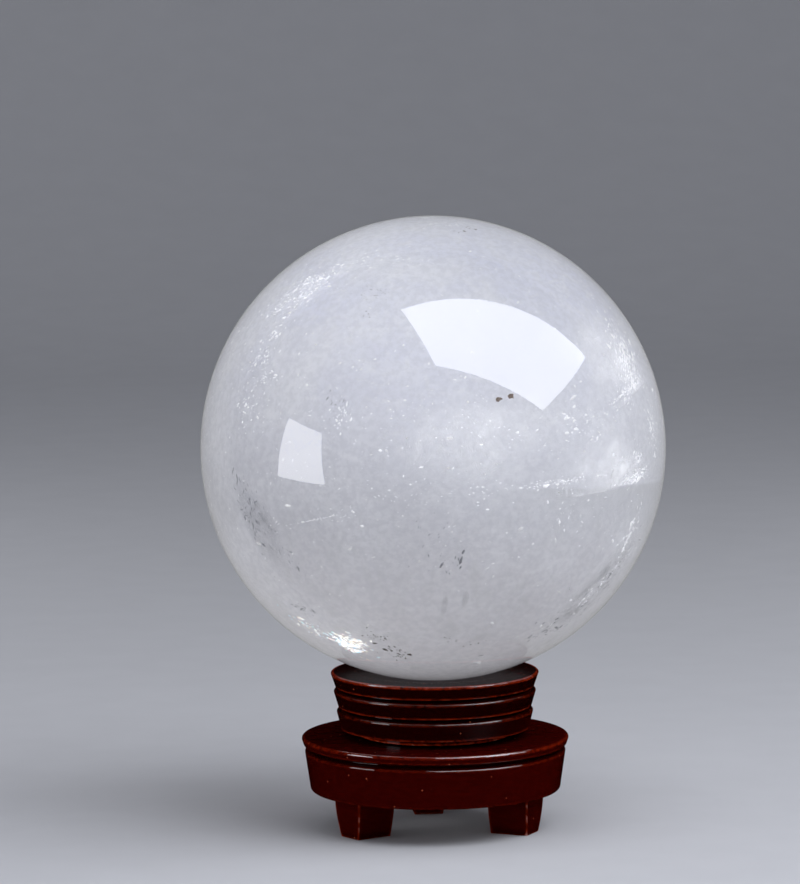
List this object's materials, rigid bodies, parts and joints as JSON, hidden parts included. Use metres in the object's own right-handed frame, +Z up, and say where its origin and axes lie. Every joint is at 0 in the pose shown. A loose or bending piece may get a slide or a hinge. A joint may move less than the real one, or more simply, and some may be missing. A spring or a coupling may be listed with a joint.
{
  "type": "crystal ball",
  "caption": "Polished milky quartz sphere resting loose in a ribbed wooden collar that turns on a round base plate with short legs.",
  "frame": {"origin": "on the standing surface, on the axis of the stand", "axes": "+Z up along the turning axis; -Y to the front, between two legs; +Y towards the third leg"},
  "size_m": [0.18, 0.18, 0.2386],
  "materials": {
    "quartz": "polished milky quartz with veils and fractures",
    "lacquered_wood": "dark red-brown gloss lacquer",
    "dowel_wood": "plain beech",
    "bearing_steel": "ground",
    "cage_brass": "stamped",
    "zinc_steel": "zinc plated"
  },
  "bodies": {
    "base": {"base_plate": "lacquered_wood", "leg_left": "lacquered_wood", "leg_right": "lacquered_wood", "leg_back": "lacquered_wood", "leg_dowels": "dowel_wood", "bearing_lower_race": "bearing_steel"},
    "ball_cage": {"bearing_cage": "cage_brass", "bearing_balls": "bearing_steel"},
    "turntable": {"seat_collar": "lacquered_wood", "bearing_upper_race": "bearing_steel", "pivot_bolt": "zinc_steel", "pivot_washer": "zinc_steel", "lock_nut": "zinc_steel"},
    "sphere": {"crystal_ball": "quartz"}
  },
  "joints": [
    {"name": "collar_turn", "type": "hinge", "parent": "base", "child": "turntable", "pos_m": [0, 0, 0.0364], "axis": [0, 0, 1], "continuous": true},
    {"name": "cage_turn", "type": "hinge", "parent": "base", "child": "ball_cage", "pos_m": [0, 0, 0.0364], "axis": [0, 0, 1], "continuous": true},
    {"name": "ball_lift", "type": "slide", "parent": "turntable", "child": "sphere", "axis": [0, 0, 1], "range_m": [0, 0.1]}
  ],
  "couplings": [
    {"joint": "cage_turn", "follows": "collar_turn", "ratio": 0.5}
  ]
}
